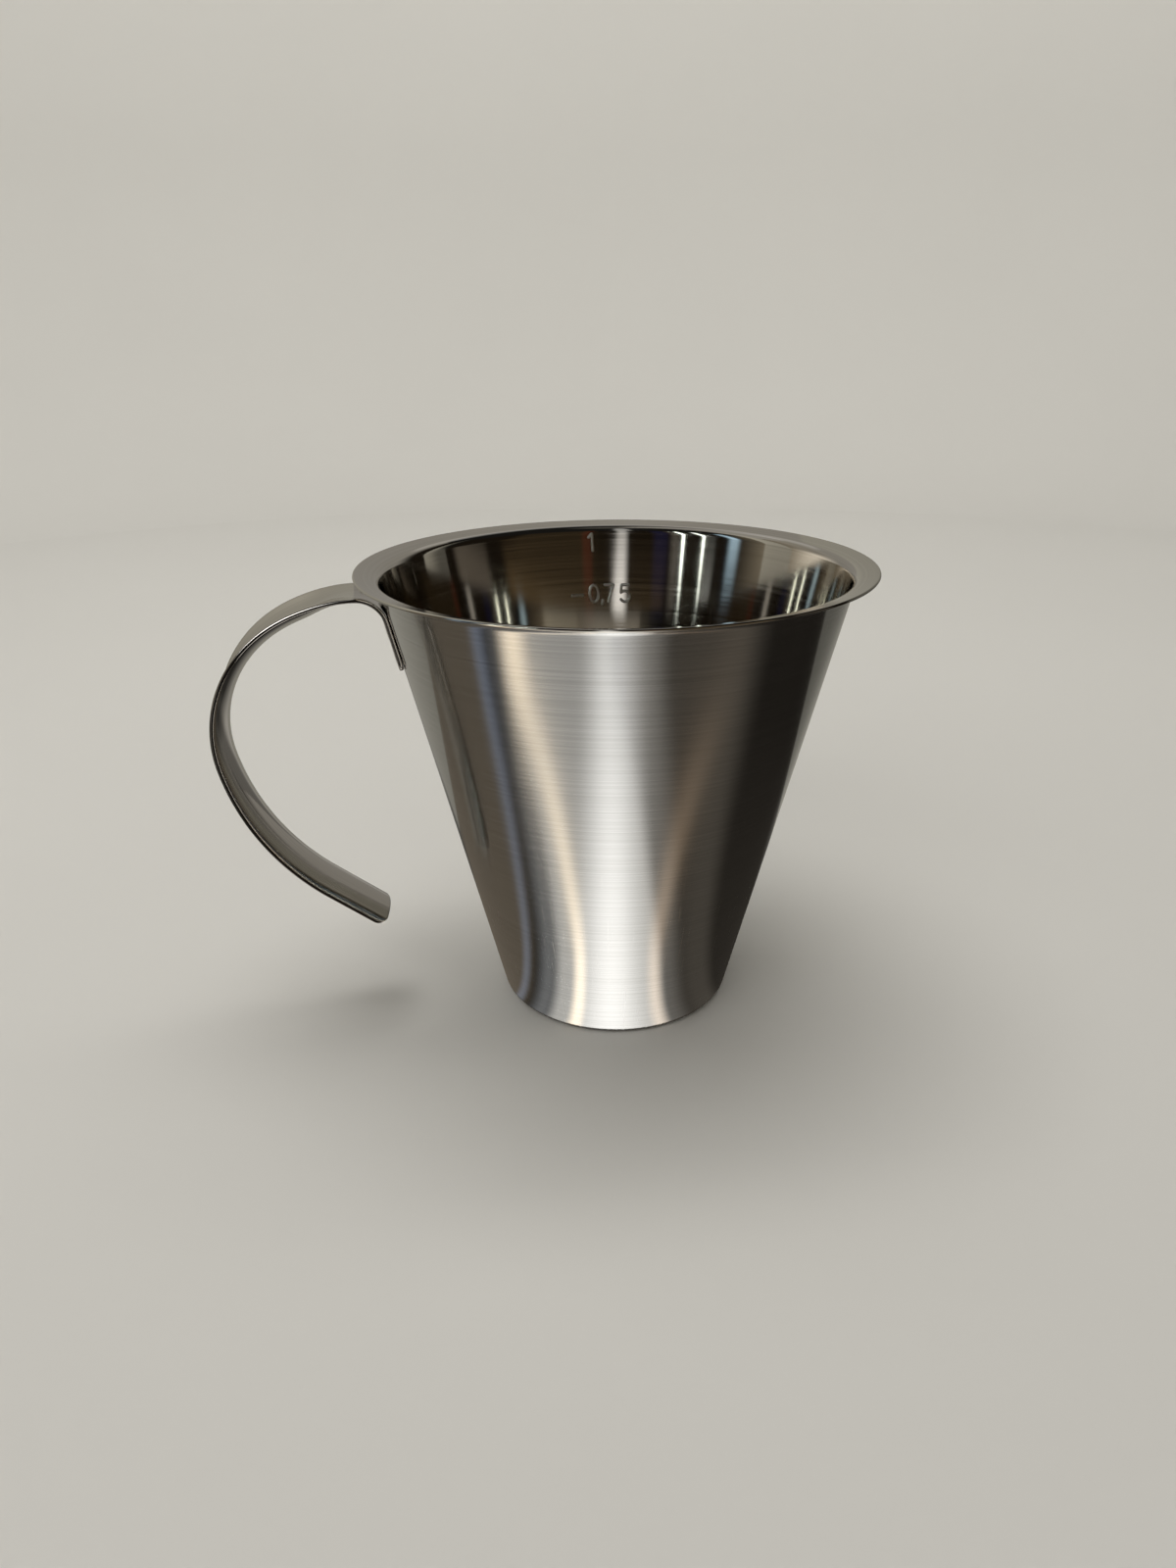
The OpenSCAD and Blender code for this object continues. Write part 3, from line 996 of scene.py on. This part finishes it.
@dataclass
class Studio:
    """Plain pale floor and backdrop, soft lamps, the camera, and cards of light that the steel mirrors.

    The walls are two flat cards behind the jug, each with the two ends of its foot.
    """

    camera_at: Vector = field(default_factory=lambda: Vector((-0.0574, -0.2931, 0.1918)))
    pan: float = math.radians(-9.54)
    tilt: float = math.radians(66.984)
    roll: float = -0.0096
    lens_mm: float = 24.95
    sensor_mm: float = 36.0
    clip_start: float = 10 * MM
    room_r: float = 1.35
    backdrop_h: float = 1.5
    sweep_r: float = 0.4
    sweep_rows: int = 15
    floor_rows: tuple[float, ...] = (0.0, 0.1, 0.4)
    sides: int = 180
    paint_shades: tuple[str, str] = ("#dddcd9", "#e2e1de")
    paint_noise: float = 3.0
    paint_roughness: float = 0.8
    dim_colour: str = "#37332c"
    card_r: float = 1.25
    card_h: float = 1.45
    foot_r: float = 34.8 * MM
    wall_h: float = 0.5
    walls: tuple[tuple[str, Pair, Pair], ...] = (
        ("left", (-0.6, 0.1205), (-0.075, 0.0886)), ("right", (0.075, 0.0754), (0.6, 0.0434)))
    softboxes: tuple[Softbox, ...] = (
        Softbox("overhead softbox", (-0.15, 0.1, 1.5), (0, 0, 0.07), (1.0, 1.0), "#fffdf9", 2.2),
        Softbox("backdrop wash", (0.1, 0.3, 1.4), (0.1, room_r, 0.3), (1.6, 0.5), "#fffdf6", 3.0),
        Softbox("front fill", (-0.7, -0.9, 0.9), (0, 0, 0.07), (1.0, 0.8), "#fffdf9", 1.6),
    )
    floor_light: tuple[Patch, ...] = (
        Patch((-2, -1), (28, 15), "#ffffff", (1.0, 0.62)),
        Patch((-4, -27), (36, 28), "#fffdf8", (0.66, 0.41), 0.75),
        Patch((-21, -46), (6, 10), "#ffe8c6", (1.1, 1.15)),
        Patch((-42, -55), (12, 7), "#f6f8fa", (0.22, 0.10)),
        Patch((28, 11), (18, 15), "#fffaf2", (0.18, 0.30)),
        Patch((24, 56), (7, 14), "#ffdcb8", (0.45, 0.02)),
        Patch((-92, -94), (46, 38), "#ffecd2", (0.13, 0.12), 0.65),
        Patch((-60, -64), 6, "#bcd6ff", (0.16, 0.21)),
        Patch((48, 44), (24, 34), "#fff2e0", (0.05, 0.07), 0.4),
        Patch((95, 100), 60, "#fff0dc", (0.03, 0.016), 0.7),
        Patch(180, 60, "#fffaf0", (0.05, 0.22), 0.55),
    )
    strip_light: tuple[Patch, ...] = (
        Patch(-20, 100, "#fff0dc", 0.008, 0.9),
        Patch(-32, 12, "#fffaf0", (0.0, 0.22), 0.3, (0.17, 0.30)),
        Patch(-82, 30, "#fffaf4", (0.9, 0.05), 0.5),
        Patch(-152, 36, "#fffaf0", (0.03, 0.32), 0.3),
        Patch(165, 40, "#fffaf0", (0.04, 0.14), 0.5),
    )
    strip_room_light: tuple[Patch, ...] = (
        Patch(0, 360, "#ffe2bc", 0.012, 0.9),
        Patch(-20, 22, "#ffffff", (0.0, 4.0), 0.4, (0.34, 0.40)),
        Patch(-60, 36, "#fff6e8", (0.10, 0.14), 0.5),
        Patch(-104, 30, "#fff0d4", 0.22, 0.3),
        Patch(-127, 26, "#fff6e6", (0.7, 0.3), 0.0, (0.25, 0.60)),
        Patch(180, 50, "#fffaf0", 0.26, 0.6),
    )
    room_light: tuple[Patch, ...] = (
        Patch(0, 360, "#ffe2bc", (0.010, 0.012), 0.9),
        Patch(18, 50, "#ffd9a0", (0.13, 0.0), 0.86, (0.385, 0.405)),
        Patch(36, 28, "#ffd9a0", (0.0, 0.02), 0.6, (0.40, 0.42)),
        Patch(16, 4, "#ff5038", (0.0, 0.04), 0.3, (0.405, 0.42)),
        Patch(-26, 6, "#4a70ff", (0.0, 0.03), 0.3, (0.405, 0.42)),
        Patch(-38.7, (1.0, 1.2), "#f4fff8", (1.5, 9.0), 0.0, (0.42, 0.49)),
        Patch(-50.5, (1.0, 1.2), "#f4fff8", (1.9, 9.0), 0.0, (0.42, 0.49)),
        Patch(-34, 4, "#fff6e8", 0.1),
        Patch(-54, 5, "#f0f6f4", (0.45, 0.06), 0.3, (0.365, 0.395)),
        Patch((-2, -4), (6.5, 4.5), "#ffffff", (1.45, 0.55), 0.2, (0.40, 0.51)),
        Patch(-69, 5, "#bfe0f8", (0.10, 1.10), 0.2, (0.35, 0.43)),
        Patch(-98, 32, "#fff0d4", (0.26, 0.20), 0.0, (0.40, 0.50)),
        Patch(-127, 26, "#fff6e6", (0.9, 0.3), 0.0, (0.25, 0.60)),
        Patch(86, 13, "#fff0dc", (0.12, 0.0), 0.6, (0.36, 0.40)),
        Patch(180, 50, "#fffaf0", (0.27, 0.30), 0.6, (0.3, 1.0)),
        Patch(180, 40, "#ffffff", (0.0, 0.15), 0.5, (0.95, 1.05)),
    )
    wall_light: tuple[Patch, ...] = (
        Patch(-135, 60, "#fffaea", (0.225, 0.60), 0.9),
        Patch(135, 60, "#fffaea", (0.11, 0.01), 0.9, (0.20, 0.28)),
        Patch(155, 40, "#fffaea", (0.24, 0.0), 0.2, (0.20, 0.28)),
    )
    ceiling_light: tuple[Patch, ...] = (
        Patch(0, 360, "#fffaf2", (0.10, 0.012), 0.9, (0.15, 0.30)),
        Patch(-130, 50, "#fffaf2", 0.35, 0.4),
        Patch(-5, 8, "#ffffff", (0.0, 0.5), 0.3, (0.2, 0.5)),
        Patch(180, 40, "#ffffff", (0.0, 0.3), 0.5, (0.7, 1.1)),
    )
    cards: tuple[Card, ...] = (
        Card("floor", True, 0.3 * MM, (foot_r, 0.06, 0.2, card_r), (0.06, 0.19), floor_light),
        Card("strip", True, 0.6 * MM, (foot_r, 0.06, 0.2, card_r), (0.08, 0.17), strip_light, clear=True),
        Card("room", False, card_r, (2 * MM, 0.5, 1.0, card_h), (0.0, 0.6), room_light),
        Card("strip room", False, card_r - 10 * MM, (2 * MM, 0.3, 0.6, 0.95), (0.0, 0.6),
             strip_room_light, clear=True),
        Card("ceiling", True, card_h, (0.0, 0.3, 0.6, card_r), (0.3, 0.9), ceiling_light),
    )

    @property
    def front(self) -> float:
        """Azimuth of the camera as seen from the jug, in the CAD frame."""
        return math.atan2(self.camera_at.y, self.camera_at.x)

    def build_camera(self) -> None:
        """Stands the camera where the photograph was taken from."""
        data = bpy.data.cameras.new("camera")
        data.lens, data.sensor_width, data.clip_start = self.lens_mm, self.sensor_mm, self.clip_start
        camera = place("camera", data)
        turn = (Matrix.Rotation(self.pan, 4, "Z") @ Matrix.Rotation(self.tilt, 4, "X")
                @ Matrix.Rotation(self.roll, 4, "Z"))
        camera.matrix_world = Matrix.Translation(self.camera_at) @ turn
        bpy.context.scene.camera = camera

    def stand(self, name: str, points: list, faces: list, material: Material) -> Object:
        """Adds a surface to the stage.

        Args:
            name: Name of the object.
            points: Its corners.
            faces: Its faces, as numbers of corners.
            material: Its paint or its light.

        Returns:
            The new staged object.
        """
        mesh = bpy.data.meshes.new(name)
        mesh.from_pydata(points, [], faces)
        mesh.shade_smooth()
        mesh.materials.append(material)
        piece = place(name, mesh)
        return piece

    def turned(self, name: str, section: list[Pair], material: Material) -> Object:
        """Adds a surface of revolution to the stage.

        Args:
            name: Name of the object.
            section: Points as (radius, height).
            material: Its paint or its light.

        Returns:
            The new staged object.
        """
        points, faces, rows = [], [], len(section)
        for i in range(self.sides + 1):
            turn = self.front + math.radians(360 * i / self.sides - 180)
            points += [(r * math.cos(turn), r * math.sin(turn), z) for r, z in section]
        for i in range(self.sides):
            faces += [(i * rows + j, (i + 1) * rows + j, (i + 1) * rows + j + 1, i * rows + j + 1)
                      for j in range(rows - 1)]
        return self.stand(name, points, faces, material)

    def paint(self) -> Material:
        """Makes the matt paint of the floor and the backdrop, which drifts a little in colour.

        Returns:
            The material.
        """
        paint, add, spot = new_material("pale matt paint")
        drift = add(NOISE, {"Vector": spot, "Scale": self.paint_noise, "Detail": 2.0})
        dark, pale = map(linear, self.paint_shades)
        tint = add(MIX, {0: drift, 6: dark, 7: pale}, data_type="RGBA").outputs[2]
        shader = add("ShaderNodeBsdfPrincipled", {"Base Color": tint, "Roughness": self.paint_roughness})
        add("ShaderNodeOutputMaterial", {"Surface": shader})
        return paint

    def build_stage(self, body: list[Object], strip: Object) -> None:
        """Lays the floor and the backdrop, and cards of light that only reflections see.

        The worktop under the real jug is bright steel, so the lights seen in it differ from place to place.
        The cards of the floor and the room therefore come twice, for the jug's body and for its handle. A
        card for the handle is clear, because it lies in front of the body's.

        Args:
            body: Pieces of the jug's body.
            strip: The handle.
        """
        bend, flat_r = self.sweep_r, self.room_r - self.sweep_r
        sweep = [(flat_r + bend * math.sin(a), bend - bend * math.cos(a))
                 for a in (math.radians(90 * i / self.sweep_rows) for i in range(self.sweep_rows + 1))]
        paint = self.paint()
        floor = self.turned("floor", [(r, 0.0) for r in (*self.floor_rows, flat_r)], paint)
        backdrop = self.turned("backdrop", [*sweep, (self.room_r, self.backdrop_h)], paint)
        floor.visible_glossy = backdrop.visible_glossy = False
        cards = []
        for plan in self.cards:
            section = [(row, plan.at) if plan.level else (plan.at, row) for row in plan.rows]
            light = self.glow(plan.name, plan.patches, plan.span, plan.level, plan.clear)
            cards.append(self.turned(plan.name.replace(" ", "_") + "_card", section, light))
        for card, pieces in zip(cards, (body, [strip]) * 2):
            seen_in = bpy.data.collections.new(card.name + " shows in")
            for piece in pieces:
                seen_in.objects.link(piece)
            card.light_linking.receiver_collection = seen_in
        for name, start, end in self.walls:
            points = [(*start, 0), (*end, 0), (*end, self.wall_h), (*start, self.wall_h)]
            light = self.glow(name + " wall", self.wall_light, (0.0, self.wall_h))
            cards.append(self.stand("wall_card_" + name, points, [(0, 1, 2, 3)], light))
        for card in cards:
            card.visible_camera = card.visible_diffuse = card.visible_shadow = False

    def glow(self, name: str, patches: tuple[Patch, ...], ends: Pair, level: bool = False,
             clear: bool = False) -> Material:
        """Makes the light of a card from its patches.

        Args:
            name: Name of the card.
            patches: Patches of light, which add up.
            ends: Span of the patches that give none of their own.
            level: True for a level card, False for an upright one.
            clear: True for a card that lets what lies behind it show too.

        Returns:
            The material.
        """
        light, add, spot = new_material(f"light on {name} card")
        facing = add("ShaderNodeMapping", {"Vector": spot, "Rotation": (0, 0, -self.front)})
        x, y, way = add(SPLIT, {0: facing}).outputs
        if level:
            flat = add(VECTOR, {0: facing, 1: (1, 1, 0)}, operation="MULTIPLY")
            way = add(VECTOR, {0: flat}, operation="LENGTH").outputs["Value"]
        degrees = add(MATH, {0: add(MATH, {0: y, 1: x}, operation="ARCTAN2")}, operation="DEGREES")
        total = None
        for patch in patches:
            start, end = patch.span or ends
            middle, width, power = (
                add(RANGE, {"Value": way, 1: start, 2: end, 3: value[0], 4: value[1]})
                if isinstance(value, tuple) else value
                for value in (patch.azimuth, patch.width, patch.radiance))
            apart = add(MATH, {0: degrees, 1: middle}, operation="SUBTRACT")
            apart = add(MATH, {0: apart, 1: 180.0, 2: -180.0}, operation="WRAP")
            apart = add(MATH, {0: apart}, operation="ABSOLUTE")
            top = add(MATH, {0: width, 1: patch.flat}, operation="MULTIPLY")
            hill = add(RANGE, {"Value": apart, 1: width, 2: top, 3: 0.0, 4: 1.0},
                       interpolation_type="SMOOTHSTEP")
            hill = add(MATH, {0: hill, 1: power}, operation="MULTIPLY")
            term = add(VECTOR, {0: linear(patch.colour)[:3], 3: hill}, operation="SCALE")
            total = term if total is None else add(VECTOR, {0: total, 1: term})
        shader = add("ShaderNodeEmission", {"Color": total, "Strength": 1.0})
        if clear:
            shader = add("ShaderNodeAddShader", {0: shader, 1: add("ShaderNodeBsdfTransparent")})
        add("ShaderNodeOutputMaterial", {"Surface": shader})
        light.cycles.emission_sampling = "NONE"
        return light

    def build_lights(self) -> None:
        """Hangs the softboxes in a dim room, and has colours shown as they are lit."""
        for softbox in self.softboxes:
            softbox.hang()
        world = bpy.data.worlds.new("dim room")
        world.use_nodes = True
        world.node_tree.nodes["Background"].inputs["Color"].default_value = linear(self.dim_colour)
        bpy.context.scene.world = world
        bpy.context.scene.view_settings.view_transform = "Standard"


def main() -> None:
    """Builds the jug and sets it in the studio."""
    logging.basicConfig(level=logging.INFO, format="%(name)s: %(message)s")
    studio = Studio()
    studio.build_camera()
    shell = Shell()
    handle = StripHandle(shell)
    pieces = []
    for part in (shell, handle, WeldMarks(shell, handle), Scale(shell)):
        piece = part.build()
        part.dress(piece)
        log.info("%s: %d faces", piece.name, len(piece.data.polygons))
        pieces.append(piece)
    body, strip, *rest = pieces
    studio.build_stage([body, *rest], strip)
    studio.build_lights()


if __name__ == "__main__":
    main()
